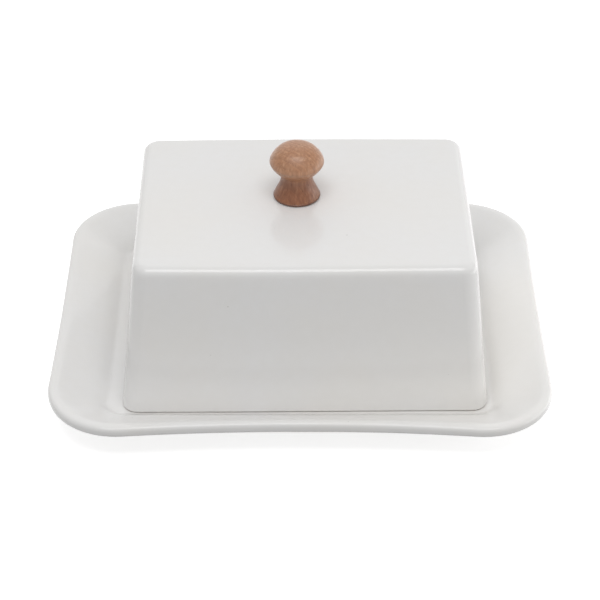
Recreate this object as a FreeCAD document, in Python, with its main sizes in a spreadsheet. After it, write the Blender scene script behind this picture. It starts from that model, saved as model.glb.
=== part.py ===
"""Butter dish: a glazed ceramic tray with a waisted rim, a deep ceramic lid and a turned wooden knob.

Millimetres, +Z up. The origin is the middle of the tray's foot on the table. +X runs along the
long side and +Y across it. The lid stands in the tray's well, and the knob, its threaded insert,
the screw and the two washers travel with the lid.
"""
import FreeCAD, Part
import math
import os
import Sketcher
from FreeCAD import Placement, Rotation, Vector

DOCUMENT = FreeCAD.newDocument("ButterDish")
SHEET = DOCUMENT.addObject("Spreadsheet::Sheet", "Sizes")

# Driving dimensions: alias, value in millimetres (degrees for the turn), what it is.
DIMENSIONS = [
    ("tray_length", 200.0, "outer length over the lip"),
    ("tray_width", 164.4, "outer width over the lip, at the corners"),
    ("tray_corner", 28.6, "plan radius of the lip's corners"),
    ("long_waist", 3.3, "how far the middle of a long side is pulled in"),
    ("short_waist", 0.5, "how far the middle of a short side is pulled in"),
    ("tray_height", 16.5, "top of the lip above the table"),
    ("lip_thickness", 4.0, "height of the rounded outer edge"),
    ("lip_round", 1.95, "radius of that edge, above and below"),
    ("lip_inset", 3.4, "from the outer edge to where the rim begins to fall"),
    ("lip_blend", 5.0, "radius between the lip's top and the slope of the rim"),
    ("foot_length", 163.4, "outer length of the foot ring"),
    ("foot_width", 127.4, "outer width of the foot ring"),
    ("foot_corner", 12.0, "plan radius of the foot ring's corners"),
    ("foot_height", 2.8, "upright part of the foot ring"),
    ("foot_land", 5.0, "width of the foot ring that meets the table"),
    ("foot_recess", 1.5, "how far the underside is hollowed inside the ring"),
    ("foot_round", 0.8, "radius of the foot ring's outer edge"),
    ("shoulder_rise", 4.0, "height of the curve from the foot to the underside of the rim"),
    ("shoulder_reach", 4.0, "how far that curve reaches outwards"),
    ("floor_height", 6.0, "top of the well's floor above the table"),
    ("wall_rise", 3.2, "height of the well's sloping wall"),
    ("wall_reach", 4.5, "how far the well's wall leans outwards"),
    ("floor_blend", 3.0, "radius between the floor and the wall"),
    ("root_blend", 20.0, "radius between the wall and the rim"),
    ("lid_length", 145.8, "outer length of the lid at its foot"),
    ("lid_width", 114.4, "outer width of the lid at its foot"),
    ("lid_top_length", 133.0, "outer length where the walls would meet the top"),
    ("lid_top_width", 100.0, "outer width where the walls would meet the top"),
    ("lid_height", 63.8, "height of the lid"),
    ("lid_corner", 6.5, "plan radius of the lid's upright corners"),
    ("lid_edge", 4.5, "radius between the top and the walls"),
    ("lid_rest_round", 1.2, "radius of the edge that the lid stands on"),
    ("lid_wall", 4.6, "thickness of the lid's walls and top"),
    ("lid_inner_edge", 3.0, "radius inside the lid, under its top"),
    ("lid_shift_x", 1.45, "where the lid stands in the well, along X"),
    ("lid_shift_y", -1.0, "where the lid stands in the well, along Y"),
    ("lid_turn", 0.55, "how far the lid is turned in the well"),
    ("knob_shift_x", -2.75, "the knob's place on the lid, along X"),
    ("knob_shift_y", 3.45, "the knob's place on the lid, along Y"),
    ("knob_height", 23.5, "height of the knob"),
    ("knob_base_radius", 9.5, "radius of the knob's foot"),
    ("knob_base_bevel", 0.6, "bevel round the knob's foot"),
    ("knob_neck_radius", 6.1, "radius of the knob's neck"),
    ("knob_neck_height", 9.8, "height of the neck"),
    ("knob_cove", 21.0, "radius of the hollow curve up to the neck"),
    ("knob_flare_radius", 10.6, "radius at the underside of the cap"),
    ("knob_flare_height", 15.2, "height of the underside of the cap"),
    ("knob_flare_curve", 30.0, "radius of the curve from the neck to the cap"),
    ("knob_brow_height", 16.6, "height of the top of the cap's widest band"),
    ("knob_brow_curve", 0.95, "radius of that band"),
    ("knob_shoulder_radius", 7.4, "radius of the cap's shoulder"),
    ("knob_shoulder_height", 21.7, "height of the cap's shoulder"),
    ("knob_cap_curve", 12.0, "radius of the curve up to the shoulder"),
    ("knob_crown_radius", 5.6, "radius where the crown begins"),
    ("knob_crown_height", 22.8, "height where the crown begins"),
    ("knob_shoulder_curve", 3.0, "radius of the shoulder"),
    ("insert_radius", 3.0, "outer radius of the threaded insert"),
    ("insert_length", 10.0, "length of the threaded insert"),
    ("insert_sink", 0.3, "how far the insert is sunk into the knob"),
    ("insert_bore", 2.05, "radius of the insert's bore"),
    ("insert_groove", 0.4, "depth of the grooves round the insert"),
    ("knob_bore_depth", 11.5, "depth of the hole for the insert"),
    ("screw_radius", 2.0, "radius of the screw's shank"),
    ("screw_length", 16.0, "length of the screw under its head"),
    ("screw_tip", 0.5, "bevel at the screw's tip"),
    ("head_radius", 4.0, "radius of the screw's pan head"),
    ("head_height", 2.6, "height of the screw's pan head"),
    ("head_round", 1.2, "radius of the pan head's edge"),
    ("recess_length", 4.4, "length of each arm of the cross recess"),
    ("recess_width", 1.0, "width of each arm of the cross recess"),
    ("recess_depth", 1.5, "depth of the cross recess"),
    ("hole_radius", 2.5, "radius of the hole through the lid"),
    ("washer_radius", 4.5, "outer radius of the steel washer"),
    ("washer_bore", 2.15, "bore radius of the steel washer"),
    ("washer_thickness", 0.8, "thickness of the steel washer"),
    ("seal_radius", 6.0, "outer radius of the silicone washer"),
    ("seal_bore", 2.25, "bore radius of the silicone washer"),
    ("seal_thickness", 1.5, "thickness of the silicone washer"),
]
GROOVE_COUNT = 4
ROUND_STEPS = 5
LEVEL_ERROR = 1e-4
ON_AXIS = 1e-9


class Size:
    """A length known both as a number and as an expression on the sheet."""

    def __init__(self, number, text):
        self.number = number
        self.text = text

    def __add__(self, other):
        return Size(self.number + other.number, f"({self.text} + {other.text})")

    def __sub__(self, other):
        return Size(self.number - other.number, f"({self.text} - {other.text})")

    def __mul__(self, factor):
        return Size(self.number * factor, f"({self.text} * {factor})")

    def __truediv__(self, factor):
        return Size(self.number / factor, f"({self.text} / {factor})")

    def __neg__(self):
        return Size(-self.number, f"(0 - {self.text})")

    def share(self, part, whole):
        """The same share of this size as part is of whole."""
        number = self.number * part.number / whole.number
        return Size(number, f"({self.text} * {part.text} / {whole.text})")


ZERO = Size(0.0, "0")


def fill_sheet():
    """Write each dimension as a plain number, with its alias and a note beside it."""
    for row, (alias, number, note) in enumerate(DIMENSIONS, start=1):
        SHEET.set(f"A{row}", str(number))
        SHEET.setAlias(f"A{row}", alias)
        SHEET.set(f"B{row}", note)
    DOCUMENT.recompute()


def cell(alias):
    """The size held under an alias."""
    return Size(float(SHEET.get(alias)), f"Sizes.{alias}")


def new_body(label):
    """A body whose label is its node's name."""
    body = DOCUMENT.addObject("PartDesign::Body", label)
    body.Label = label
    return body


def plane(body, role):
    """One of the body's own origin planes."""
    return next(item for item in body.Origin.OriginFeatures if item.Role == role)


def new_sketch(body, name, role, level=None):
    """A sketch on an origin plane, lifted to a level when one is given."""
    sketch = body.newObject("Sketcher::SketchObject", name)
    sketch.AttachmentSupport = [(plane(body, role), "")]
    sketch.MapMode = "FlatFace"
    if level is not None:
        sketch.setExpression("AttachmentOffset.Base.z", level.text)
    return sketch


def bind(sketch, constraint, size):
    """Add a sized constraint and tie its value to the sheet."""
    index = sketch.addConstraint(Sketcher.Constraint(*constraint, size.number))
    sketch.setExpression(f"Constraints[{index}]", size.text)


def pin(sketch, geometry, point, across, along):
    """Hold a point of a sketch at a place given by two sizes."""
    for kind, axis, size in (("DistanceX", -2, across), ("DistanceY", -1, along)):
        if abs(size.number) < ON_AXIS:
            sketch.addConstraint(Sketcher.Constraint("PointOnObject", geometry, point, axis))
        elif size.number > 0:
            bind(sketch, (kind, -1, 1, geometry, point), size)
        else:
            bind(sketch, (kind, geometry, point, -1, 1), -size)


def arc_radius(run, rise):
    """Radius of an arc that starts square to an axis and rises this much over this run."""
    squares = Size(run.number ** 2 + rise.number ** 2, f"({run.text} ^ 2 + {rise.text} ^ 2)")
    return Size(squares.number / (2 * rise.number), f"({squares.text} / (2 * {rise.text}))")


def side_points(x_run, y_run, corner, waist, side_radius):
    """Where one side along +X starts, is at its lowest and ends, with corner arcs at both ends."""
    if waist is None:
        return Vector(x_run, y_run + corner, 0), None, Vector(-x_run, y_run + corner, 0)
    reach = side_radius + corner
    rise = reach - waist
    end_x = x_run - corner * x_run / reach
    end_y = y_run + corner * rise / reach
    return Vector(end_x, end_y, 0), Vector(0, y_run + corner - waist, 0), Vector(-end_x, end_y, 0)


def outline(body, name, level, length, width, corner, long_waist=None, short_waist=None):
    """A closed outline of four corner arcs and four sides, straight or pulled in to a waist."""
    sketch = new_sketch(body, name, "XY_Plane", level)
    x_run = length / 2 - corner
    y_run = width / 2 - corner
    radii = []
    for run, waist in ((x_run, long_waist), (y_run, short_waist)):
        radii.append(arc_radius(run, waist) - corner if waist is not None else None)
    pieces = []
    for quarter in range(4):
        on_long_side = quarter % 2 == 0
        waist = long_waist if on_long_side else short_waist
        radius = radii[quarter % 2]
        runs = (x_run, y_run) if on_long_side else (y_run, x_run)
        turn = Rotation(Vector(0, 0, 1), 90 * quarter)
        points = side_points(runs[0].number, runs[1].number, corner.number,
                             waist.number if waist is not None else None,
                             radius.number if radius is not None else None)
        pieces.append([turn.multVec(point) if point is not None else None for point in points])
    centres = [(-1, 1), (-1, -1), (1, -1), (1, 1)]
    for quarter, (start, middle, end) in enumerate(pieces):
        if middle is None:
            side = Part.LineSegment(start, end)
        else:
            side = Part.Arc(start, middle, end)
        sketch.addGeometry(side)
        sign_x, sign_y = centres[quarter]
        centre = Vector(sign_x * x_run.number, sign_y * y_run.number, 0)
        outward = Vector(sign_x, sign_y, 0).normalize()
        next_start = pieces[(quarter + 1) % 4][0]
        sketch.addGeometry(Part.Arc(end, centre + outward * corner.number, next_start))
    for quarter, (start, middle, end) in enumerate(pieces):
        side = 2 * quarter
        arc = side + 1
        following = (side + 2) % 8
        # A side arc that is pulled in runs clockwise, so its ends are counted the other way round.
        side_end = 2 if middle is None else 1
        next_begin = 1 if pieces[(quarter + 1) % 4][1] is None else 2
        sketch.addConstraint(Sketcher.Constraint("Tangent", side, side_end, arc, 1))
        sketch.addConstraint(Sketcher.Constraint("Tangent", arc, 2, following, next_begin))
    for quarter, (sign_x, sign_y) in enumerate(centres):
        arc = 2 * quarter + 1
        pin(sketch, arc, 3, x_run * sign_x, y_run * sign_y)
        bind(sketch, ("Radius", arc), corner)
        if radii[quarter % 2] is not None:
            bind(sketch, ("Radius", 2 * quarter), radii[quarter % 2])
    return sketch


def profile(sketch, corners, arcs=None):
    """A closed chain through corners; arcs maps a piece's number to its radius and its side."""
    arcs = arcs or {}
    places = [Vector(across.number, along.number, 0) for across, along in corners]
    count = len(places)
    for index in range(count):
        start = places[index]
        end = places[(index + 1) % count]
        if index not in arcs:
            sketch.addGeometry(Part.LineSegment(start, end))
            continue
        radius, side = arcs[index]
        chord = end - start
        middle = (start + end) * 0.5
        square = Vector(-chord.y, chord.x, 0).normalize() * side
        sagitta = radius.number - (radius.number ** 2 - (chord.Length / 2) ** 2) ** 0.5
        sketch.addGeometry(Part.Arc(start, middle + square * sagitta, end))
    # An arc is kept counter-clockwise, so one that bulges to the left of its chord starts at its end.
    first = [2 if index in arcs and arcs[index][1] > 0 else 1 for index in range(count)]
    for index, (across, along) in enumerate(corners):
        before = (index - 1) % count
        joint = (before, 3 - first[before], index, first[index])
        sketch.addConstraint(Sketcher.Constraint("Coincident", *joint))
        pin(sketch, index, first[index], across, along)
    for index, (radius, _side) in arcs.items():
        bind(sketch, ("Radius", index), radius)
    return sketch


def volume(body):
    """The volume of a body so far, which is none before its first feature."""
    return 0.0 if body.Shape.isNull() else body.Shape.Volume


def loft(body, name, kind, sketches):
    """A ruled loft through sketches, added to the body or taken away from it."""
    before = volume(body)
    feature = body.newObject(f"PartDesign::{kind}Loft", name)
    feature.Profile = sketches[0]
    feature.Sections = sketches[1:]
    feature.Ruled = True
    DOCUMENT.recompute()
    grew = volume(body) > before
    if grew != (kind == "Additive"):
        raise RuntimeError(f"{name} failed")
    return feature


def level_edges(feature, level, inner):
    """The names of the edges that lie flat at a level, in the innermost ring or the outermost."""
    rings = {}
    for number, edge in enumerate(feature.Shape.Edges, start=1):
        box = edge.BoundBox
        if abs(box.ZMin - level.number) < LEVEL_ERROR and abs(box.ZMax - level.number) < LEVEL_ERROR:
            rings[f"Edge{number}"] = edge
    chains = Part.sortEdges(list(rings.values()))
    chains.sort(key=lambda chain: Part.Wire(chain).BoundBox.XLength)
    chosen = chains[0] if inner else chains[-1]
    return [name for name, edge in rings.items() if any(edge.isSame(item) for item in chosen)]


def round_edges(body, name, base, level, radius, inner):
    """Fillet one ring of level edges of the last feature."""
    edges = level_edges(base, level, inner)
    feature = body.newObject("PartDesign::Fillet", name)
    feature.Base = (base, edges)
    feature.setExpression("Radius", radius.text)
    DOCUMENT.recompute()
    return feature


def turned(label, corners, arcs=None):
    """A body turned round its own Z axis from a closed half profile."""
    body = new_body(label)
    sketch = profile(new_sketch(body, f"{label}_profile", "XZ_Plane"), corners, arcs)
    feature = body.newObject("PartDesign::Revolution", f"{label}_turned")
    feature.Profile = sketch
    feature.ReferenceAxis = (sketch, ["V_Axis"])
    feature.Angle = 360.0
    DOCUMENT.recompute()
    return body


def cut_pocket(body, sketch, name, depth, upward):
    """Cut a pocket upward or downward, and stop if it removed nothing."""
    before = volume(body)
    feature = body.newObject("PartDesign::Pocket", name)
    feature.Profile = sketch
    feature.setExpression("Length", depth.text)
    feature.Reversed = upward
    DOCUMENT.recompute()
    if volume(body) >= before:
        raise RuntimeError(f"{name} cut nothing")
    return feature


def make_tray():
    """The tray: foot ring, well with a sloping wall, and a broad rim that rises to a round lip."""
    body = new_body("tray")
    foot = (cell("foot_length"), cell("foot_width"), cell("foot_corner"))
    reach = cell("shoulder_reach")
    shoulder = (foot[0] + reach * 2, foot[1] + reach * 2, foot[2] + reach)
    lip = (cell("tray_length"), cell("tray_width"), cell("tray_corner"),
           cell("long_waist"), cell("short_waist"))
    foot_top = cell("foot_height")
    lip_bottom = cell("tray_height") - cell("lip_thickness")
    outside = [
        outline(body, "foot_outline", ZERO, *foot),
        outline(body, "foot_top_outline", foot_top, *foot),
        outline(body, "shoulder_outline", foot_top + cell("shoulder_rise"), *shoulder),
        outline(body, "lip_bottom_outline", lip_bottom, *lip),
        outline(body, "lip_top_outline", cell("tray_height"), *lip),
    ]
    loft(body, "tray_outside", "Additive", outside)

    lean = cell("wall_reach")
    well = (foot[0] - lean * 2, foot[1] - lean * 2, foot[2] - lean)
    inset = cell("lip_inset")
    rim = (lip[0] - inset * 2, lip[1] - inset * 2, lip[2] - inset, lip[3], lip[4])
    mouth_level = cell("floor_height") + cell("wall_rise")
    hollow = [
        outline(body, "well_outline", cell("floor_height"), *well),
        outline(body, "mouth_outline", mouth_level, *foot),
        outline(body, "rim_outline", cell("tray_height"), *rim),
    ]
    solid = loft(body, "well_and_rim", "Subtractive", hollow)
    blends = (
        ("lip_top_rounding", cell("tray_height"), cell("lip_round"), False),
        ("lip_bottom_rounding", lip_bottom, cell("lip_round"), False),
        ("rim_top_blending", cell("tray_height"), cell("lip_blend"), True),
        ("floor_blending", cell("floor_height"), cell("floor_blend"), False),
        ("root_blending", mouth_level, cell("root_blend"), False),
        ("foot_rounding", ZERO, cell("foot_round"), False),
    )
    for name, level, radius, inner in blends:
        solid = round_edges(body, name, solid, level, radius, inner)

    land = cell("foot_land")
    recess = outline(body, "recess_outline", ZERO, foot[0] - land * 2, foot[1] - land * 2,
                     foot[2] - land)
    cut_pocket(body, recess, "foot_recess_cut", cell("foot_recess"), upward=True)
    return body


def tapered_outlines(body, name, foot, top, height, corner, low_round, high_round):
    """Outlines up a tapered block, close together where its lower and upper edges are rounded."""
    angles = [math.pi / 2 * step / ROUND_STEPS for step in range(ROUND_STEPS + 1)]
    places = [(ZERO, ZERO)]
    if low_round is not None:
        places = [(low_round * (1 - math.cos(angle)), low_round * (1 - math.sin(angle)))
                  for angle in angles]
    places += [(height - high_round * (1 - math.sin(angle)), high_round * (1 - math.cos(angle)))
               for angle in angles]
    outlines = []
    for number, (level, inset) in enumerate(places, start=1):
        length = foot[0] + (top[0] - foot[0]).share(level, height) - inset * 2
        width = foot[1] + (top[1] - foot[1]).share(level, height) - inset * 2
        outlines.append(outline(body, f"{name}_{number}", level, length, width, corner - inset))
    return outlines


def make_lid():
    """The lid: a tapered shell, open below, with a hole in its top for the knob's screw."""
    body = new_body("lid")
    corner = cell("lid_corner")
    wall = cell("lid_wall")
    height = cell("lid_height")
    foot = (cell("lid_length"), cell("lid_width"))
    top = (cell("lid_top_length"), cell("lid_top_width"))
    loft(body, "lid_outside", "Additive",
         tapered_outlines(body, "lid_outline", foot, top, height, corner,
                          cell("lid_rest_round"), cell("lid_edge")))
    inner_foot = (foot[0] - wall * 2, foot[1] - wall * 2)
    inner_top = (top[0] - wall * 2, top[1] - wall * 2)
    loft(body, "lid_inside", "Subtractive",
         tapered_outlines(body, "lid_hollow", inner_foot, inner_top, height - wall,
                          corner - wall / 2, None, cell("lid_inner_edge")))

    sketch = new_sketch(body, "hole_outline", "XY_Plane", height)
    hole = Part.Circle(Vector(cell("knob_shift_x").number, cell("knob_shift_y").number, 0),
                       Vector(0, 0, 1), cell("hole_radius").number)
    sketch.addGeometry(hole)
    pin(sketch, 0, 3, cell("knob_shift_x"), cell("knob_shift_y"))
    bind(sketch, ("Radius", 0), cell("hole_radius"))
    cut_pocket(body, sketch, "screw_hole", wall * 2, upward=False)
    return body


def make_knob():
    """The turned knob: bevelled foot, hollow curve to the neck, flared cap and a blind hole."""
    bore = cell("insert_radius")
    base = cell("knob_base_radius")
    bevel = cell("knob_base_bevel")
    flare = cell("knob_flare_radius")
    crown_rise = cell("knob_height") - cell("knob_crown_height")
    corners = [
        (bore, ZERO),
        (base - bevel, ZERO),
        (base, bevel),
        (cell("knob_neck_radius"), cell("knob_neck_height")),
        (flare, cell("knob_flare_height")),
        (flare, cell("knob_brow_height")),
        (cell("knob_shoulder_radius"), cell("knob_shoulder_height")),
        (cell("knob_crown_radius"), cell("knob_crown_height")),
        (ZERO, cell("knob_height")),
        (ZERO, cell("knob_bore_depth")),
        (bore, cell("knob_bore_depth")),
    ]
    arcs = {
        2: (cell("knob_cove"), 1),
        3: (cell("knob_flare_curve"), -1),
        4: (cell("knob_brow_curve"), -1),
        5: (cell("knob_cap_curve"), -1),
        6: (cell("knob_shoulder_curve"), -1),
        7: (arc_radius(cell("knob_crown_radius"), crown_rise), -1),
    }
    return turned("knob", corners, arcs)


def make_insert():
    """The brass threaded insert: a sleeve with grooves round it that grip the wood."""
    outer = cell("insert_radius")
    bore = cell("insert_bore")
    length = cell("insert_length")
    root = outer - cell("insert_groove")
    pitch = length / (2 * GROOVE_COUNT + 1)
    corners = [(bore, ZERO), (outer, ZERO)]
    for groove in range(GROOVE_COUNT):
        low = pitch * (2 * groove + 1)
        high = pitch * (2 * groove + 2)
        corners += [(outer, low), (root, low), (root, high), (outer, high)]
    corners += [(outer, length), (bore, length)]
    return turned("knob_insert", corners)


def make_screw():
    """The pan-head machine screw, head down, with a cross recess in its head."""
    shank = cell("screw_radius")
    tip = cell("screw_tip")
    head = cell("head_radius")
    head_height = cell("head_height")
    edge = cell("head_round")
    length = cell("screw_length")
    corners = [
        (ZERO, -head_height),
        (head - edge, -head_height),
        (head, edge - head_height),
        (head, ZERO),
        (shank, ZERO),
        (shank, length - tip),
        (shank - tip, length),
        (ZERO, length),
    ]
    body = turned("knob_screw", corners, {1: (edge, -1)})
    reach = cell("recess_length") / 2
    half = cell("recess_width") / 2
    cross = [
        (reach, -half), (reach, half), (half, half), (half, reach), (-half, reach), (-half, half),
        (-reach, half), (-reach, -half), (-half, -half), (-half, -reach), (half, -reach),
        (half, -half),
    ]
    sketch = profile(new_sketch(body, "cross_outline", "XY_Plane", -head_height), cross)
    cut_pocket(body, sketch, "cross_recess", cell("recess_depth"), upward=True)
    return body


def make_washer(label, outer, bore, thickness):
    """A flat ring."""
    corners = [(bore, ZERO), (outer, ZERO), (outer, thickness), (bore, thickness)]
    return turned(label, corners)


def stand_on_lid(body, lid, height):
    """Put a piece on the knob's axis, at a height above the lid's foot."""
    place = Vector(cell("knob_shift_x").number, cell("knob_shift_y").number, height.number)
    body.Placement = lid.Placement.multiply(Placement(place, Rotation()))


def check_document():
    """Recompute everything, and stop if any object failed."""
    DOCUMENT.recompute()
    for item in DOCUMENT.Objects:
        if "Invalid" in item.State or "Error" in item.State:
            raise RuntimeError(f"{item.Label} failed: {item.State}")


def export(bodies):
    """Write each sub-part to its own file after checking its shape."""
    os.makedirs("parts", exist_ok=True)
    for body in bodies:
        shape = body.Shape
        if shape.isNull() or not shape.isValid() or len(shape.Solids) != 1:
            raise RuntimeError(f"{body.Label} has no sound solid")
    for body in bodies:
        body.Shape.exportStep(f"parts/{body.Label}.step")
        box = body.Shape.optimalBoundingBox(False, False)
        print(f"{body.Label}: {box.XLength:.2f} x {box.YLength:.2f} x {box.ZLength:.2f} mm, "
              f"{body.Shape.Volume / 1000:.2f} cm3")


def main():
    """Build every piece, set it in its place and write it out."""
    fill_sheet()
    tray = make_tray()
    lid = make_lid()
    rest = Vector(cell("lid_shift_x").number, cell("lid_shift_y").number,
                  cell("floor_height").number)
    lid.Placement = Placement(rest, Rotation(Vector(0, 0, 1), cell("lid_turn").number))
    knob = make_knob()
    insert = make_insert()
    screw = make_screw()
    washer = make_washer("steel_washer", cell("washer_radius"), cell("washer_bore"),
                         cell("washer_thickness"))
    seal = make_washer("seal_washer", cell("seal_radius"), cell("seal_bore"),
                       cell("seal_thickness"))
    top = cell("lid_height")
    seal_level = top - cell("lid_wall") - cell("seal_thickness")
    washer_level = seal_level - cell("washer_thickness")
    stand_on_lid(knob, lid, top)
    stand_on_lid(insert, lid, top + cell("insert_sink"))
    stand_on_lid(seal, lid, seal_level)
    stand_on_lid(washer, lid, washer_level)
    stand_on_lid(screw, lid, washer_level)
    check_document()
    export([tray, lid, knob, insert, screw, washer, seal])


main()
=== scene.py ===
"""Looks for the butter dish: glazed tray and lid, turned wooden knob, and the screw that holds it.

Metres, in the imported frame: +Z up, +X along the tray's long side, +Y towards the back.
"""
import math

import bmesh
import bpy
from mathutils import Matrix, Vector, noise


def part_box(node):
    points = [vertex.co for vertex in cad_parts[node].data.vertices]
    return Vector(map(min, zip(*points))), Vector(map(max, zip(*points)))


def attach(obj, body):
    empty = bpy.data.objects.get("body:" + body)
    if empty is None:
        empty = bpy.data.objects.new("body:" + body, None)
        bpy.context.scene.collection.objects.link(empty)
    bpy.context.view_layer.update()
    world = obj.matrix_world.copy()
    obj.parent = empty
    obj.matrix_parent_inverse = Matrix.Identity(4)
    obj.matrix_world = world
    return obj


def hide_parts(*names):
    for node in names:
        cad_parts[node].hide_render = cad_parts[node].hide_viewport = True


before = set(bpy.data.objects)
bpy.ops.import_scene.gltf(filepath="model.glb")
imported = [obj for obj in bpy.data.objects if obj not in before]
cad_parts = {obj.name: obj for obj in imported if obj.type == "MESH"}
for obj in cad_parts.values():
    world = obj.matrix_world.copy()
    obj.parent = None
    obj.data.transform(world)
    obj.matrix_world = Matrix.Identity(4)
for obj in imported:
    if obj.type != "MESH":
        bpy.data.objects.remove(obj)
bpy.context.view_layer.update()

MM = 0.001

# How finely a ring of points goes round a ceramic piece.
LONG_STEPS = 48
SHORT_STEPS = 36
CORNER_STEPS = 20
RING_COUNT = 2 * (LONG_STEPS + SHORT_STEPS + 2 * CORNER_STEPS)
TURN_STEPS = 96
ARC_STEP = math.radians(10)
SPAN_STEP = 2.2 * MM
# The most of a span that the arc at one of its ends may take up.
ARC_SHARE = 0.49


# ---------------------------------------------------------------- outlines and profiles

def corner_lean(run, waist):
    """How far a corner arc runs past its quarter turn to meet a side with this waist."""
    if waist <= 0:
        return 0.0
    return math.asin(run / ((run * run + waist * waist) / (2 * waist)))


def side_height(across, run, waist, corner):
    """How far a side lies outside the line through its corners' centres, at a distance from its middle."""
    if waist <= 0:
        return corner
    reach = (run * run + waist * waist) / (2 * waist)
    radius = reach - corner
    return corner - waist + radius - math.sqrt(radius * radius - across * across)


def outline(half_long, half_wide, corner, long_waist=0.0, short_waist=0.0):
    """Points round a rounded rectangle whose sides may be pulled in at their middles."""
    points = []
    for quarter in range(4):
        on_long = quarter % 2 == 0
        steps = LONG_STEPS if on_long else SHORT_STEPS
        run, rise = (half_long, half_wide) if on_long else (half_wide, half_long)
        waist, next_waist = (long_waist, short_waist) if on_long else (short_waist, long_waist)
        run -= corner
        rise -= corner
        lean = corner_lean(run, waist)
        next_lean = corner_lean(rise, next_waist)
        end = run - corner * math.sin(lean)
        turn = Matrix.Rotation(math.pi / 2 * quarter, 2)
        for step in range(steps):
            across = end * (1 - 2 * step / steps)
            points.append(turn @ Vector((across, rise + side_height(across, run, waist, corner))))
        first = math.pi / 2 - lean
        last = math.pi + next_lean
        for step in range(CORNER_STEPS):
            angle = first + (last - first) * step / CORNER_STEPS
            place = Vector((-run + corner * math.cos(angle), rise + corner * math.sin(angle)))
            points.append(turn @ place)
    return points


def in_metres(corners):
    """Corners given in millimetres, as metres."""
    return [(across * MM, up * MM, radius * MM) for across, up, radius in corners]


def rounded_path(corners):
    """Points along a chain of (across, up, radius) corners, with the inner ones rounded by arcs."""
    places = [Vector((across, up)) for across, up, _radius in corners]
    path = [places[0]]
    for index in range(1, len(corners) - 1):
        here = places[index]
        radius = corners[index][2]
        before = places[index - 1] - here
        after = places[index + 1] - here
        turn = math.pi - before.angle(after)
        reach = min(radius * math.tan(turn / 2), ARC_SHARE * before.length, ARC_SHARE * after.length)
        radius = reach / math.tan(turn / 2)
        start = here + before.normalized() * reach
        end = here + after.normalized() * reach
        middle = (before.normalized() + after.normalized()).normalized()
        centre = here + middle * (radius / math.cos(turn / 2))
        steps = max(2, math.ceil(turn / ARC_STEP))
        for step in range(steps + 1):
            swing = math.tan(turn / 2 * (1 - 2 * step / steps)) / math.tan(turn / 2)
            spoke = (start - centre).lerp(end - centre, 0.5 - 0.5 * swing)
            path.append(centre + spoke.normalized() * radius)
    path.append(places[-1])
    return path


def subdivided(path):
    """The same path with its long straight spans cut into even steps."""
    points = []
    for start, end in zip(path, path[1:]):
        steps = max(1, math.ceil((end - start).length / SPAN_STEP))
        points += [start.lerp(end, step / steps) for step in range(steps)]
    points.append(path[-1])
    return points


# ---------------------------------------------------------------- meshes

def new_object(name, bm):
    """A smooth-shaded object made from a bmesh, with its faces turned outwards."""
    bmesh.ops.recalc_face_normals(bm, faces=bm.faces)
    for face in bm.faces:
        face.smooth = True
    mesh = bpy.data.meshes.new(name)
    bm.to_mesh(mesh)
    bm.free()
    piece = bpy.data.objects.new(name, mesh)
    bpy.context.scene.collection.objects.link(piece)
    return piece


def add_rings(bm, rings, closed=False):
    """Join rings of points into a skin of quads; returns the rings of vertices."""
    rows = [[bm.verts.new(point) for point in ring] for ring in rings]
    pairs = list(zip(rows, rows[1:]))
    if closed:
        pairs.append((rows[-1], rows[0]))
    for low, high in pairs:
        for index in range(len(low)):
            after = (index + 1) % len(low)
            bm.faces.new((low[index], low[after], high[after], high[index]))
    return rows


def fill_ring(bm, ring):
    """Fill a ring that goes round a rounded rectangle with a grid of quads."""
    half = CORNER_STEPS // 2
    top_left = LONG_STEPS + half
    bottom_left = top_left + SHORT_STEPS + CORNER_STEPS
    bottom_right = top_left + RING_COUNT // 2
    top_right = bottom_left + RING_COUNT // 2
    wide = LONG_STEPS + CORNER_STEPS
    deep = SHORT_STEPS + CORNER_STEPS

    def at(index):
        return ring[index % RING_COUNT]

    grid = []
    for column in range(wide + 1):
        line = []
        for row in range(deep + 1):
            if row == 0:
                line.append(at(top_right + column))
            elif row == deep:
                line.append(at(bottom_right - column))
            elif column == 0:
                line.append(at(top_right - row))
            elif column == wide:
                line.append(at(top_left + row))
            else:
                u, v = column / wide, row / deep
                top, bottom = at(top_right + column).co, at(bottom_right - column).co
                right, left = at(top_right - row).co, at(top_left + row).co
                corners = ((1 - u) * (1 - v) * at(top_right).co + u * (1 - v) * at(top_left).co
                           + (1 - u) * v * at(bottom_right).co + u * v * at(bottom_left).co)
                place = (1 - v) * top + v * bottom + (1 - u) * right + u * left - corners
                line.append(bm.verts.new(place))
        grid.append(line)
    for column in range(wide):
        for row in range(deep):
            bm.faces.new((grid[column][row], grid[column][row + 1],
                          grid[column + 1][row + 1], grid[column + 1][row]))


def turned_piece(name, path, centre):
    """A piece turned round a vertical axis from a path of (radius, height) points, closed at both ends."""
    bm = bmesh.new()
    rings = []
    for radius, height in path:
        ring = []
        for step in range(TURN_STEPS):
            angle = 2 * math.pi * step / TURN_STEPS
            ring.append(centre + Vector((radius * math.cos(angle), radius * math.sin(angle), height)))
        rings.append(ring)
    rows = add_rings(bm, rings)
    for row in (rows[0], rows[-1]):
        middle = bm.verts.new(sum((vert.co for vert in row), Vector()) / TURN_STEPS)
        for index in range(TURN_STEPS):
            bm.faces.new((row[index], row[(index + 1) % TURN_STEPS], middle))
    return new_object(name, bm)


def soften(piece, amount, size, seed):
    """Push a ceramic surface gently in and out, as casting and firing leave it."""
    for vertex in piece.data.vertices:
        place = vertex.co / size + Vector((seed, -seed, 2 * seed))
        shift = Vector((noise.noise(place), noise.noise(place + Vector((31, 7, 3))),
                        noise.noise(place + Vector((5, 17, 41)))))
        vertex.co += shift * amount


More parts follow.
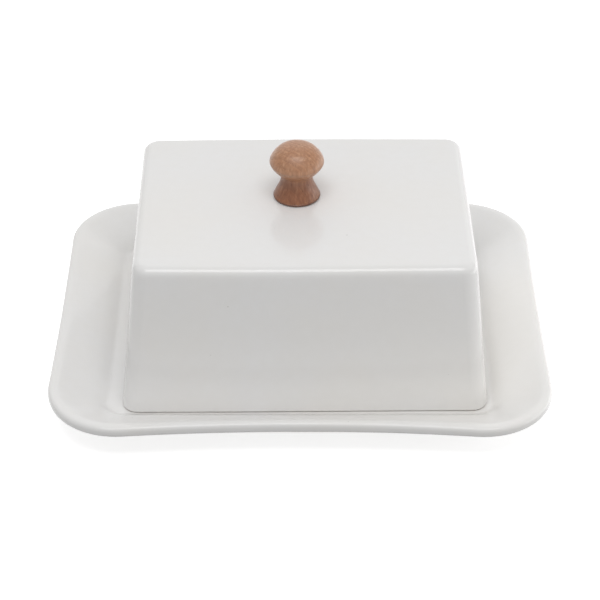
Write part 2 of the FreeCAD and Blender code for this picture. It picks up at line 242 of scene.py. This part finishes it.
def fit_to_box(piece, name):
    """Scale a piece by the little that makes it fill its CAD node's box and no more."""
    low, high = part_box(name)
    places = [vertex.co for vertex in piece.data.vertices]
    for axis in range(3):
        first = min(place[axis] for place in places)
        last = max(place[axis] for place in places)
        scale = (high[axis] - low[axis]) / (last - first)
        for place in places:
            place[axis] = low[axis] + (place[axis] - first) * scale


# ---------------------------------------------------------------- node helpers

def new_material(name):
    """A material with its node tree and its shader."""
    material = bpy.data.materials.new(name)
    material.use_nodes = True
    tree = material.node_tree
    return material, tree, tree.nodes["Principled BSDF"]


def node(tree, kind, **inputs):
    """Add a node; inputs are set by name, with underscores for spaces."""
    made = tree.nodes.new(kind)
    for name, value in inputs.items():
        made.inputs[name.replace("_", " ")].default_value = value
    return made


def coordinates(tree, scale=(1, 1, 1), offset=(0, 0, 0)):
    """Object coordinates, in metres, shifted and scaled."""
    source = tree.nodes.new("ShaderNodeTexCoord")
    mapping = node(tree, "ShaderNodeMapping", Scale=scale, Location=offset)
    tree.links.new(source.outputs["Object"], mapping.inputs["Vector"])
    return mapping.outputs["Vector"]


def noise_value(tree, vector, scale, detail=4.0, roughness=0.55, distortion=0.0):
    """The value of a noise texture at a scale per metre."""
    texture = node(tree, "ShaderNodeTexNoise", Scale=scale, Detail=detail, Roughness=roughness,
                   Distortion=distortion)
    tree.links.new(vector, texture.inputs["Vector"])
    return texture.outputs["Fac"]


def ramp(tree, value, *stops):
    """Map a value through (position, colour) stops."""
    made = tree.nodes.new("ShaderNodeValToRGB")
    elements = made.color_ramp.elements
    while len(elements) < len(stops):
        elements.new(0.5)
    for element, (position, colour) in zip(elements, stops):
        element.position = position
        element.color = (*colour, 1.0)
    tree.links.new(value, made.inputs["Fac"])
    return made.outputs["Color"]


def grey(level):
    """A grey colour of one level."""
    return (level, level, level)


def remap(tree, value, low, high, new_low, new_high):
    """Map a value from one range to another, held at the ends."""
    made = node(tree, "ShaderNodeMapRange", From_Min=low, From_Max=high, To_Min=new_low,
                To_Max=new_high)
    tree.links.new(value, made.inputs["Value"])
    return made.outputs["Result"]


def math_node(tree, operation, first, second=None):
    """One sum on values or sockets."""
    made = tree.nodes.new("ShaderNodeMath")
    made.operation = operation
    for socket, value in zip(made.inputs, (first, second)):
        if value is None:
            continue
        if isinstance(value, (int, float)):
            socket.default_value = value
        else:
            tree.links.new(value, socket)
    return made.outputs["Value"]


def mix_colour(tree, share, first, second, blend="MIX"):
    """Mix two colours, each given as a colour or a socket."""
    made = tree.nodes.new("ShaderNodeMix")
    made.data_type = "RGBA"
    made.blend_type = blend
    sockets = (made.inputs[6], made.inputs[7])
    for socket, value in zip(sockets, (first, second)):
        if isinstance(value, tuple):
            socket.default_value = (*value, 1.0)
        else:
            tree.links.new(value, socket)
    if isinstance(share, (int, float)):
        made.inputs[0].default_value = share
    else:
        tree.links.new(share, made.inputs[0])
    return made.outputs[2]


def bump(tree, shader, *layers):
    """Stack bump layers of (height socket, distance in metres, strength) onto a shader."""
    normal = None
    for height, distance, strength in layers:
        made = node(tree, "ShaderNodeBump", Distance=distance, Strength=strength)
        tree.links.new(height, made.inputs["Height"])
        if normal is not None:
            tree.links.new(normal, made.inputs["Normal"])
        normal = made.outputs["Normal"]
    tree.links.new(normal, shader.inputs["Normal"])


def below_height(tree, level, fade):
    """1 below a height in the frame, falling to 0 over a fade above it."""
    parts = tree.nodes.new("ShaderNodeSeparateXYZ")
    tree.links.new(coordinates(tree), parts.inputs["Vector"])
    return remap(tree, parts.outputs["Z"], level, level + fade, 1.0, 0.0)


# ---------------------------------------------------------------- materials

# Scales are in features per metre, and ranges are stretches of a texture's own 0 to 1. A bump is a
# (distance, strength) pair.
GLAZE_COOL = (0.875, 0.87, 0.865)
GLAZE_WARM = (0.875, 0.862, 0.84)
GLAZE_DEEP = (0.84, 0.825, 0.80)
CLOUD_SCALE = 18.0
CLOUD_RANGE = (0.35, 0.65)
MOTTLE_SCALE = 260.0
MOTTLE_RANGE = (0.3, 0.7)
MOTTLE_SHARE = 0.25
SMEAR_SCALE = 45.0
SMEAR_RANGE = (0.35, 0.7)
GLAZE_ROUGHNESS = (0.14, 0.22)
GLAZE_IOR = 1.5
GLAZE_COAT = 0.15
GLAZE_COAT_ROUGHNESS = 0.06
RIPPLE_SCALE = 70.0
RIPPLE_BUMP = (0.25 * MM, 0.35)
PEEL_SCALE = 650.0
PEEL_BUMP = (0.03 * MM, 0.35)

# Pinholes: one to a cell of the texture, sized as a share of the cell.
PIT_SCALE = 75.0
PIT_SIZE = 0.022
PIT_CORE = 0.4
PIT_SHARE = 0.55
PIT_COLOUR = (0.30, 0.27, 0.24)
PIT_BUMP = (0.12 * MM, 0.6)

# Bare clay where a piece stood in the kiln.
CLAY_LIGHT = (0.66, 0.61, 0.53)
CLAY_DARK = (0.52, 0.46, 0.38)
CLAY_DRYNESS = 0.5
CLAY_FADE = 0.5 * MM
RAGGED_SCALE = 900.0
RAGGED_RANGE = (0.2, 0.45)
RAGGED_SHARES = (0.4, 1.0)
GRIT_SCALE = 2500.0
GRIT_RANGE = (0.35, 0.7)


def glaze_pits(tree, place):
    """1 in the pinholes of the glaze and 0 between them."""
    pits = node(tree, "ShaderNodeTexVoronoi", Scale=PIT_SCALE, Randomness=1.0)
    tree.links.new(place, pits.inputs["Vector"])
    return remap(tree, pits.outputs["Distance"], PIT_SIZE * PIT_CORE, PIT_SIZE, 1.0, 0.0)


def bare_clay(tree, place, bare_level):
    """How bare the clay is, with a ragged edge, and the clay's colour."""
    ragged = noise_value(tree, place, RAGGED_SCALE, detail=3.0)
    bare = math_node(tree, "MULTIPLY", below_height(tree, bare_level, CLAY_FADE),
                     remap(tree, ragged, *RAGGED_RANGE, *RAGGED_SHARES))
    grit = noise_value(tree, place, GRIT_SCALE, detail=4.0)
    clay = mix_colour(tree, remap(tree, grit, *GRIT_RANGE, 0.0, 1.0), CLAY_LIGHT, CLAY_DARK)
    return bare, clay


def glaze_colour(tree, place):
    """Uneven white: broad cool and warm clouds, with a fine deeper mottle."""
    cloud = noise_value(tree, place, CLOUD_SCALE, detail=3.0)
    mottle = noise_value(tree, place, MOTTLE_SCALE, detail=5.0)
    colour = mix_colour(tree, remap(tree, cloud, *CLOUD_RANGE, 0.0, 1.0), GLAZE_COOL, GLAZE_WARM)
    return mix_colour(tree, remap(tree, mottle, *MOTTLE_RANGE, 0.0, MOTTLE_SHARE), colour, GLAZE_DEEP)


def glaze_material(name, bare_level):
    """Glossy white glaze over pale stoneware, left bare where the piece stands in the kiln."""
    material, tree, shader = new_material(name)
    place = coordinates(tree)
    pit = glaze_pits(tree, place)
    bare, clay = bare_clay(tree, place, bare_level)
    colour = glaze_colour(tree, place)
    colour = mix_colour(tree, math_node(tree, "MULTIPLY", pit, PIT_SHARE), colour, PIT_COLOUR)
    colour = mix_colour(tree, bare, colour, clay)
    tree.links.new(colour, shader.inputs["Base Color"])

    smear = noise_value(tree, place, SMEAR_SCALE, detail=6.0, distortion=0.6)
    gloss = remap(tree, smear, *SMEAR_RANGE, *GLAZE_ROUGHNESS)
    rough = math_node(tree, "ADD", gloss, math_node(tree, "MULTIPLY", bare, CLAY_DRYNESS))
    tree.links.new(rough, shader.inputs["Roughness"])
    shader.inputs["IOR"].default_value = GLAZE_IOR
    shader.inputs["Coat Weight"].default_value = GLAZE_COAT
    shader.inputs["Coat Roughness"].default_value = GLAZE_COAT_ROUGHNESS
    shader.inputs["Coat IOR"].default_value = GLAZE_IOR

    ripple = noise_value(tree, place, RIPPLE_SCALE, detail=2.0)
    peel = noise_value(tree, place, PEEL_SCALE, detail=2.0)
    sunk = math_node(tree, "SUBTRACT", 1.0, pit)
    bump(tree, shader, (ripple, *RIPPLE_BUMP), (peel, *PEEL_BUMP), (sunk, *PIT_BUMP))
    return material


WOOD_DARK = (0.330, 0.155, 0.080)
WOOD_MIDDLE = (0.500, 0.255, 0.138)
WOOD_LIGHT = (0.680, 0.405, 0.250)
WOOD_RED = (0.470, 0.220, 0.115)
WOOD_LATE = (0.310, 0.145, 0.078)
WOOD_PORE = (0.100, 0.042, 0.022)
WOOD_IOR = 1.5
WOOD_COAT = 0.45
WOOD_COAT_ROUGHNESS = 0.3
WOOD_ROUGHNESS = (0.5, 0.38)

# The grain is upright: textures are stretched along Z by these shares.
FIBRE_STRETCH = (1.0, 1.0, 0.045)
FIBRE_SCALE = 950.0
FIBRE_STOPS = (0.28, 0.5, 0.74)
FIBRE_RANGE = (0.3, 0.7)
FIBRE_BUMP = (0.06 * MM, 0.5)
BROAD_STRETCH = (1.0, 1.0, 0.12)
BROAD_SCALE = 190.0
BROAD_RANGE = (0.35, 0.65)
BROAD_SHARE = 0.55

# Growth rings round a pith that lies outside the knob, with a slight wander.
PITH_OFFSET = Vector((16 * MM, 21 * MM))
RING_WIDTH = 1.9 * MM
RING_WANDER = (4 * MM, 4 * MM, 0.0)
WANDER_SCALE = 140.0
WANDER_STRETCH = (1.0, 1.0, 0.25)
LATE_RANGE = (0.35, 0.97)
LATE_SHARE = 0.38

PORE_STRETCH = (1.0, 1.0, 0.06)
PORE_SCALE = 1500.0
PORE_SIZE = (0.10, 0.26)
PORE_SHARE = 0.75
PORE_DRYNESS = 0.25
PORE_BUMP = (0.08 * MM, 0.6)
PATCH_STRETCH = (1.0, 1.0, 0.3)
PATCH_SCALE = 420.0
PATCH_RANGE = (0.48, 0.62)

# Painted shade: the knob's stem and foot, shaded by the cap, are painted darker and redder than the cap,
# and a thin band at the foot's edge is painted darker still for the shade under its bevel.
CAP_UNSHADED = (1.0, 1.0, 1.0)
STEM_PAINTED_SHADE = (0.64, 0.50, 0.42)
FOOT_EDGE_PAINTED_SHADE = (0.36, 0.28, 0.24)
STEM_SHADE_HEIGHT = 8.0 * MM
STEM_SHADE_FADE = 6.0 * MM
FOOT_SHADE_HEIGHT = 0.95 * MM
FOOT_SHADE_FADE = 0.2 * MM


def wood_rings(tree, axis):
    """How far across its growth ring each place lies, from early wood at 0 to late wood at 1."""
    place = coordinates(tree, offset=(-axis.x - PITH_OFFSET.x, -axis.y - PITH_OFFSET.y, 0.0))
    wander = node(tree, "ShaderNodeTexNoise", Scale=WANDER_SCALE, Detail=2.0)
    tree.links.new(coordinates(tree, scale=WANDER_STRETCH), wander.inputs["Vector"])
    bend = tree.nodes.new("ShaderNodeVectorMath")
    bend.operation = "MULTIPLY_ADD"
    bend.inputs[1].default_value = RING_WANDER
    tree.links.new(wander.outputs["Color"], bend.inputs[0])
    tree.links.new(place, bend.inputs[2])
    parts = tree.nodes.new("ShaderNodeSeparateXYZ")
    tree.links.new(bend.outputs["Vector"], parts.inputs["Vector"])
    squares = math_node(tree, "ADD", math_node(tree, "POWER", parts.outputs["X"], 2.0),
                        math_node(tree, "POWER", parts.outputs["Y"], 2.0))
    radius = math_node(tree, "SQRT", squares)
    rings = math_node(tree, "FRACT", math_node(tree, "DIVIDE", radius, RING_WIDTH))
    return remap(tree, rings, *LATE_RANGE, 0.0, 1.0)


def wood_pores(tree):
    """1 in the wood's pores and 0 between them; the pores come in patches."""
    pores = node(tree, "ShaderNodeTexVoronoi", Scale=PORE_SCALE, Randomness=1.0)
    tree.links.new(coordinates(tree, scale=PORE_STRETCH), pores.inputs["Vector"])
    pore = remap(tree, pores.outputs["Distance"], *PORE_SIZE, 1.0, 0.0)
    patch = noise_value(tree, coordinates(tree, scale=PATCH_STRETCH), PATCH_SCALE, detail=2.0)
    return math_node(tree, "MULTIPLY", pore, remap(tree, patch, *PATCH_RANGE, 0.0, 1.0))


def knob_painted_shade(tree, base_level):
    """Painted shade for the knob: none on the cap, darker and redder on the stem below it, and a dark band
    at the foot's edge.
    """
    stem = below_height(tree, base_level + STEM_SHADE_HEIGHT, STEM_SHADE_FADE)
    tint = mix_colour(tree, stem, CAP_UNSHADED, STEM_PAINTED_SHADE)
    edge = below_height(tree, base_level + FOOT_SHADE_HEIGHT, FOOT_SHADE_FADE)
    return mix_colour(tree, edge, tint, FOOT_EDGE_PAINTED_SHADE)


def wood_material(name, axis):
    """Oiled brown hardwood with its grain upright: streaks on the side, pores on the end."""
    material, tree, shader = new_material(name)
    late = wood_rings(tree, axis)
    streak = noise_value(tree, coordinates(tree, scale=FIBRE_STRETCH), FIBRE_SCALE, detail=5.0,
                         roughness=0.6)
    broad = noise_value(tree, coordinates(tree, scale=BROAD_STRETCH), BROAD_SCALE, detail=3.0)
    pore = wood_pores(tree)
    colour = ramp(tree, streak, *zip(FIBRE_STOPS, (WOOD_DARK, WOOD_MIDDLE, WOOD_LIGHT)))
    colour = mix_colour(tree, remap(tree, broad, *BROAD_RANGE, 0.0, BROAD_SHARE), colour, WOOD_RED)
    colour = mix_colour(tree, math_node(tree, "MULTIPLY", late, LATE_SHARE), colour, WOOD_LATE)
    colour = mix_colour(tree, math_node(tree, "MULTIPLY", pore, PORE_SHARE), colour, WOOD_PORE)
    # Multiply the painted shade of the stem and of the foot's edge into the wood's colour.
    colour = mix_colour(tree, 1.0, colour, knob_painted_shade(tree, axis.z), blend="MULTIPLY")
    tree.links.new(colour, shader.inputs["Base Color"])

    rough = remap(tree, streak, *FIBRE_RANGE, *WOOD_ROUGHNESS)
    rough = math_node(tree, "ADD", rough, math_node(tree, "MULTIPLY", pore, PORE_DRYNESS))
    tree.links.new(rough, shader.inputs["Roughness"])
    shader.inputs["IOR"].default_value = WOOD_IOR
    shader.inputs["Coat Weight"].default_value = WOOD_COAT
    shader.inputs["Coat Roughness"].default_value = WOOD_COAT_ROUGHNESS
    sunk = math_node(tree, "SUBTRACT", 1.0, pore)
    bump(tree, shader, (streak, *FIBRE_BUMP), (sunk, *PORE_BUMP))
    return material


STEEL_LIGHT = grey(0.62)
STEEL_DARK = grey(0.50)
BRASS_LIGHT = (0.72, 0.52, 0.24)
BRASS_DARK = (0.60, 0.42, 0.18)
STREAK_STRETCH = (1, 1, 0.2)
STREAK_SCALE = 1800.0
STREAK_RANGE = (0.3, 0.7)
STREAK_BUMP = (0.01 * MM, 0.4)
METAL_ROUGHNESS = (0.2, 0.34)
DULL_SCALE = 350.0
DULL_RANGE = (0.5, 0.75)
DULL_ROUGHNESS = (0.0, 0.12)


def metal_material(name, light, dark):
    """Turned or pressed metal with fine streaks and dull patches."""
    material, tree, shader = new_material(name)
    line = noise_value(tree, coordinates(tree, scale=STREAK_STRETCH), STREAK_SCALE, detail=4.0)
    patch = noise_value(tree, coordinates(tree), DULL_SCALE, detail=3.0)
    colour = mix_colour(tree, remap(tree, line, *STREAK_RANGE, 0.0, 1.0), light, dark)
    tree.links.new(colour, shader.inputs["Base Color"])
    shader.inputs["Metallic"].default_value = 1.0
    rough = math_node(tree, "ADD", remap(tree, line, *STREAK_RANGE, *METAL_ROUGHNESS),
                      remap(tree, patch, *DULL_RANGE, *DULL_ROUGHNESS))
    tree.links.new(rough, shader.inputs["Roughness"])
    bump(tree, shader, (line, *STREAK_BUMP))
    return material


SILICONE_DEEP = (0.70, 0.70, 0.68)
SILICONE_PALE = (0.78, 0.78, 0.77)
SILICONE_CLOUD_SCALE = 500.0
SILICONE_CLOUD_RANGE = (0.3, 0.7)
SILICONE_ROUGHNESS = (0.38, 0.52)
SILICONE_IOR = 1.41
SILICONE_GLOW = 0.3
SILICONE_GLOW_REACH = (1 * MM, 1 * MM, 1 * MM)
DUST_COLOUR = (0.86, 0.86, 0.85)
DUST_SCALE = 4000.0
DUST_RANGE = (0.62, 0.7)
DUST_SHARE = 0.4
DUST_BUMP = (0.01 * MM, 0.4)


def silicone_material(name):
    """Milky food-grade silicone with faint dust."""
    material, tree, shader = new_material(name)
    place = coordinates(tree)
    cloud = noise_value(tree, place, SILICONE_CLOUD_SCALE, detail=3.0)
    dust = noise_value(tree, place, DUST_SCALE, detail=2.0)
    colour = mix_colour(tree, cloud, SILICONE_DEEP, SILICONE_PALE)
    colour = mix_colour(tree, remap(tree, dust, *DUST_RANGE, 0.0, DUST_SHARE), colour, DUST_COLOUR)
    tree.links.new(colour, shader.inputs["Base Color"])
    rough = remap(tree, cloud, *SILICONE_CLOUD_RANGE, *SILICONE_ROUGHNESS)
    tree.links.new(rough, shader.inputs["Roughness"])
    shader.inputs["Subsurface Weight"].default_value = SILICONE_GLOW
    shader.inputs["Subsurface Radius"].default_value = SILICONE_GLOW_REACH
    shader.inputs["IOR"].default_value = SILICONE_IOR
    bump(tree, shader, (dust, *DUST_BUMP))
    return material


# ---------------------------------------------------------------- the tray

TRAY_CORNER = 28.6 * MM
LONG_WAIST = 3.3 * MM
SHORT_WAIST = 0.5 * MM
FOOT_INSET = 18.3 * MM
FOOT_CORNER = 12.0 * MM
# The foot is this much narrower at each long side than the rim's width alone would make it.
FOOT_NARROWER = 0.2 * MM
LEAST_CORNER = 3.0 * MM
# From the well's floor over the lip to the underside: reach outside the foot, height, radius.
TRAY_CORNERS = [
    (-8.0, 6.0, 0.0), (-4.5, 6.0, 4.0), (0.0, 9.2, 20.0), (14.9, 16.5, 6.0), (18.3, 16.5, 1.666),
    (18.3, 12.5, 1.95), (4.0, 6.8, 6.0), (0.0, 2.8, 2.5), (0.0, 0.0, 0.8), (-5.0, 0.0, 0.6),
    (-5.0, 1.5, 0.6), (-8.0, 1.5, 0.0),
]


def tray_ring(reach, level, half_long, half_wide):
    """A ring of the tray at a reach outside its foot: straight-sided there, waisted at the lip."""
    share = max(0.0, reach) / FOOT_INSET
    foot_long = half_long - FOOT_INSET
    foot_wide = half_wide - FOOT_INSET - FOOT_NARROWER
    widen = (half_wide - foot_wide) / FOOT_INSET if reach > 0 else 1.0
    corner = FOOT_CORNER + (TRAY_CORNER - FOOT_CORNER) * share if reach > 0 else FOOT_CORNER + reach
    points = outline(foot_long + reach, foot_wide + reach * widen, max(corner, LEAST_CORNER),
                     LONG_WAIST * share, SHORT_WAIST * share)
    return [Vector((point.x, point.y, level)) for point in points]


def make_tray():
    """The tray's skin, from the middle of the well over the lip to the middle of the underside."""
    low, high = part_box("tray")
    half_long = (high.x - low.x) / 2
    half_wide = (high.y - low.y) / 2
    path = subdivided(rounded_path(in_metres(TRAY_CORNERS)))
    bm = bmesh.new()
    rows = add_rings(bm, [tray_ring(point.x, point.y, half_long, half_wide) for point in path])
    fill_ring(bm, rows[0])
    fill_ring(bm, rows[-1])
    return new_object("tray_ceramic", bm)


# ---------------------------------------------------------------- the lid

LID_HALF_LONG = 72.9 * MM
LID_HALF_WIDE = 57.2 * MM
LID_TOP_HALF_LONG = 66.5 * MM
LID_TOP_HALF_WIDE = 50.0 * MM
LID_CORNER = 6.5 * MM
LID_WALL = 4.6 * MM
LID_TURN = math.radians(0.55)
LID_BOW = 0.7 * MM
LID_LEAST_CORNER = 1.6 * MM
LID_TOP_ROUND = 3.43 * MM
LID_FOOT_ROUND = 1.127 * MM
LID_CEILING_ROUND = 2.45 * MM
# How far the wall's outline runs in over the top and under the ceiling before the rings take over.
TOP_RUN = 7.0 * MM
CEILING_RUN = 5.0 * MM
HOLE_RADIUS = 2.5 * MM
HOLE_STEPS = 4
KNOB_SHIFT = Vector((-2.75 * MM, 3.45 * MM))
TOP_RINGS = 26


def lid_ring(inset, level, height):
    """A ring of the lid's wall at a height, set in from its outer face."""
    share = level / height
    half_long = LID_HALF_LONG + (LID_TOP_HALF_LONG - LID_HALF_LONG) * share - inset
    half_wide = LID_HALF_WIDE + (LID_TOP_HALF_WIDE - LID_HALF_WIDE) * share - inset
    points = outline(half_long, half_wide, max(LID_CORNER - inset, LID_LEAST_CORNER))
    ring = []
    for point in points:
        bow = LID_BOW * share * (1 - (point.x / half_long) ** 2) * point.y / half_wide
        ring.append(Vector((point.x, point.y + bow, level)))
    return ring


def ring_to_hole(ring, level, share):
    """A ring between the edge of the lid's top and the hole for the screw."""
    made = []
    for point in ring:
        spoke = Vector((point.x - KNOB_SHIFT.x, point.y - KNOB_SHIFT.y)).normalized() * HOLE_RADIUS
        rim = Vector((KNOB_SHIFT.x + spoke.x, KNOB_SHIFT.y + spoke.y, level))
        made.append(Vector((point.x, point.y, level)).lerp(rim, share))
    return made


def lid_place():
    """Where the lid's own origin stands in the frame, with its small turn."""
    low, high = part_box("lid")
    middle = (low + high) / 2
    return Matrix.Translation((middle.x, middle.y, low.z)) @ Matrix.Rotation(LID_TURN, 4, "Z")


def make_lid():
    """The lid's skin: outer wall, top, hole, ceiling, inner wall and the edge it stands on."""
    low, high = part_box("lid")
    height = high.z - low.z
    ceiling = height - LID_WALL
    outside = rounded_path([(LID_WALL / 2, 0, 0), (0, 0, LID_FOOT_ROUND),
                            (0, height, LID_TOP_ROUND), (TOP_RUN, height, 0)])
    inside = rounded_path([(LID_WALL + CEILING_RUN, ceiling, 0), (LID_WALL, ceiling, LID_CEILING_ROUND),
                           (LID_WALL, 0, LID_FOOT_ROUND), (LID_WALL / 2, 0, 0)])
    outer_rings = [lid_ring(point.x, point.y, height) for point in subdivided(outside)]
    inner_rings = [lid_ring(point.x, point.y, height) for point in subdivided(inside)][:-1]
    shares = [math.sin(math.pi / 2 * step / TOP_RINGS) for step in range(1, TOP_RINGS + 1)]
    top_rings = [ring_to_hole(outer_rings[-1], height, share) for share in shares]
    hole_rings = [ring_to_hole(outer_rings[-1], height - LID_WALL * step / HOLE_STEPS, 1.0)
                  for step in range(1, HOLE_STEPS)]
    ceiling_rings = [ring_to_hole(inner_rings[0], ceiling, share) for share in reversed(shares)]
    bm = bmesh.new()
    add_rings(bm, outer_rings + top_rings + hole_rings + ceiling_rings + inner_rings, closed=True)
    lid = new_object("lid_ceramic", bm)
    lid.data.transform(lid_place())
    return lid


# ---------------------------------------------------------------- the knob

# From the hole in the foot over the stem to the crown: radius, height, rounding.
KNOB_CORNERS = [
    (3.0, 0.0, 0.2), (9.0, 0.0, 0.3), (9.5, 0.7, 0.3), (9.42, 1.0, 0.15), (9.22, 1.15, 0.12),
    (9.2, 1.4, 0.3), (8.25, 3.5, 12.0), (7.05, 5.8, 11.22), (6.4, 8.2, 9.0), (6.15, 9.9, 1.6),
    (8.35, 12.1, 5.0), (10.15, 14.2, 4.0), (10.95, 15.9, 1.4), (10.7, 17.4, 3.0), (9.8, 19.1, 9.0),
    (8.4, 20.8, 6.0), (7.0, 22.0, 2.2), (5.0, 22.95, 4.0), (2.6, 23.4, 12.0),
]
BORE_RADIUS = 3.0 * MM
BORE_DEPTH = 11.5 * MM
# The first rings of the bore's end and of the crown stop short of the axis.
BORE_AXIS_GAP = 0.2 * MM
CROWN_AXIS_GAP = 0.25 * MM


def knob_centre():
    """The point on the lid's top where the knob's axis stands."""
    low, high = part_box("knob")
    return Vector(((low.x + high.x) / 2, (low.y + high.y) / 2, low.z))


def make_knob():
    """The turned knob, with its blind hole for the insert."""
    low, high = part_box("knob")
    height = high.z - low.z
    corners = in_metres(KNOB_CORNERS)
    outside = rounded_path([(BORE_RADIUS, BORE_DEPTH, 0)] + corners + [(CROWN_AXIS_GAP, height, 0)])
    path = [Vector((BORE_AXIS_GAP, BORE_DEPTH))] + outside
    return turned_piece("knob_turned", subdivided(path), knob_centre())


# ---------------------------------------------------------------- stage, light and camera

FLOOR_RADIUS = 8.0
FLOOR_SIDES = 96
FLOOR_GLOW = 0.55
FLOOR_DARK = grey(0.93)
FLOOR_LIGHT = grey(0.95)
FLOOR_CLOUD_SCALE = 3.0
FLOOR_ROUGHNESS = 0.9
FLOOR_SPECULAR = 0.1
WHITE = (1.0, 1.0, 1.0, 1.0)
# The surround's brightness by direction. Each edge is the (from, to) of a direction's Z or Y.
BELOW_LIGHT = 0.34
HORIZON_LIGHT = 0.46
ZENITH_LIGHT = 0.56
BACK_LIGHT = 0.46
BELOW_EDGE = (-0.15, -0.04)
BACK_EDGE = (0.6, 0.75)
LEVEL_EDGE = (-0.1, 0.0)
# Each panel: name, place, aim, width, height, power in watts.
PANELS = [
    ("front_high", (0.0, -0.36, 1.05), (0.0, -0.02, 0.03), 0.8, 0.5, 3.9),
    ("right_low", (0.33, 0.02, 0.06), (0.07, 0.0, 0.01), 0.4, 0.1, 0.26),
]


def make_floor():
    """A broad pale table top that glows a little, so that the dish casts little shadow on it.

    It sends no soft light back to the dish, so its glow doesn't lighten the undersides.
    """
    bm = bmesh.new()
    bmesh.ops.create_circle(bm, cap_ends=True, radius=FLOOR_RADIUS, segments=FLOOR_SIDES)
    floor = new_object("floor", bm)
    material, tree, shader = new_material("pale_floor")
    cloud = noise_value(tree, coordinates(tree), FLOOR_CLOUD_SCALE)
    tree.links.new(mix_colour(tree, cloud, FLOOR_DARK, FLOOR_LIGHT), shader.inputs["Base Color"])
    shader.inputs["Roughness"].default_value = FLOOR_ROUGHNESS
    shader.inputs["Specular IOR Level"].default_value = FLOOR_SPECULAR
    shader.inputs["Emission Color"].default_value = WHITE
    shader.inputs["Emission Strength"].default_value = FLOOR_GLOW
    floor.data.materials.append(material)
    floor.visible_diffuse = False


def make_surround():
    """A white dome, brighter overhead and behind, and darker below the table's level."""
    world = bpy.data.worlds.new("surround")
    bpy.context.scene.world = world
    world.use_nodes = True
    tree = world.node_tree
    source = tree.nodes.new("ShaderNodeTexCoord")
    parts = tree.nodes.new("ShaderNodeSeparateXYZ")
    tree.links.new(source.outputs["Generated"], parts.inputs["Vector"])
    upper = remap(tree, parts.outputs["Z"], 0.0, 1.0, 0.0, ZENITH_LIGHT - HORIZON_LIGHT)
    lower = remap(tree, parts.outputs["Z"], *BELOW_EDGE, BELOW_LIGHT, HORIZON_LIGHT)
    behind = remap(tree, parts.outputs["Y"], *BACK_EDGE, 0.0, BACK_LIGHT)
    above = remap(tree, parts.outputs["Z"], *LEVEL_EDGE, 0.0, 1.0)
    level = math_node(tree, "ADD", math_node(tree, "ADD", upper, lower),
                      math_node(tree, "MULTIPLY", behind, above))
    background = tree.nodes["Background"]
    background.inputs["Color"].default_value = WHITE
    tree.links.new(level, background.inputs["Strength"])


def add_panel(name, place, aim, width, height, power):
    """A soft rectangular light that the camera doesn't see."""
    light = bpy.data.lights.new(name, "AREA")
    light.shape = "RECTANGLE"
    light.size = width
    light.size_y = height
    light.energy = power
    panel = bpy.data.objects.new(name, light)
    panel.location = place
    panel.rotation_euler = (Vector(aim) - panel.location).to_track_quat("-Z", "Y").to_euler()
    panel.visible_camera = False
    bpy.context.scene.collection.objects.link(panel)


def make_stage():
    """The table top, the surround and the light panels."""
    make_floor()
    make_surround()
    for panel in PANELS:
        add_panel(*panel)
    bpy.context.scene.view_settings.view_transform = "Standard"


CAMERA_ELEVATION = math.radians(35.0)
CAMERA_DISTANCE = 0.8373
CAMERA_LENS = 121.3
CAMERA_AIM = Vector((-0.00006, -0.00476, 0.0232))
CAMERA_SENSOR = 36.0
CAMERA_REACH = 20.0


def make_camera():
    """The camera in front of the dish, looking down at it."""
    camera = bpy.data.cameras.new("camera")
    camera.lens = CAMERA_LENS
    camera.sensor_width = CAMERA_SENSOR
    camera.clip_end = CAMERA_REACH
    eye = bpy.data.objects.new("camera", camera)
    back = Vector((0, -math.cos(CAMERA_ELEVATION), math.sin(CAMERA_ELEVATION)))
    eye.location = CAMERA_AIM + back * CAMERA_DISTANCE
    eye.rotation_euler = (math.pi / 2 - CAMERA_ELEVATION, 0, 0)
    bpy.context.scene.collection.objects.link(eye)
    bpy.context.scene.camera = eye


# ---------------------------------------------------------------- putting it together

def finish_piece(piece, material, body, replaced):
    """Give a piece its material and its body, and hide the node it stands for."""
    piece.data.materials.clear()
    piece.data.materials.append(material)
    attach(piece, body)
    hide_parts(replaced)


def dress_node(name, material):
    """Give a carried-over node a detailed material."""
    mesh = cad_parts[name].data
    mesh.materials.clear()
    mesh.materials.append(material)


# How far the clay shows above the level that a ceramic piece stands on.
BARE_HEIGHT = 0.1 * MM
# Handmade waviness of a ceramic piece: depth, size and seed.
TRAY_WAVES = (0.12 * MM, 45 * MM, 3.1)
LID_WAVES = (0.1 * MM, 40 * MM, 8.4)

tray = make_tray()
soften(tray, *TRAY_WAVES)
fit_to_box(tray, "tray")
finish_piece(tray, glaze_material("tray_glaze", BARE_HEIGHT), "tray", "tray")

lid = make_lid()
soften(lid, *LID_WAVES)
fit_to_box(lid, "lid")
lid_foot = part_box("lid")[0].z
finish_piece(lid, glaze_material("lid_glaze", lid_foot + BARE_HEIGHT), "lid", "lid")

knob = make_knob()
fit_to_box(knob, "knob")
finish_piece(knob, wood_material("knob_wood", knob_centre()), "lid", "knob")

steel = metal_material("screw_steel", STEEL_LIGHT, STEEL_DARK)
brass = metal_material("insert_brass", BRASS_LIGHT, BRASS_DARK)
dress_node("knob_screw", steel)
dress_node("steel_washer", steel)
dress_node("knob_insert", brass)
dress_node("seal_washer", silicone_material("seal_silicone"))

make_stage()
make_camera()
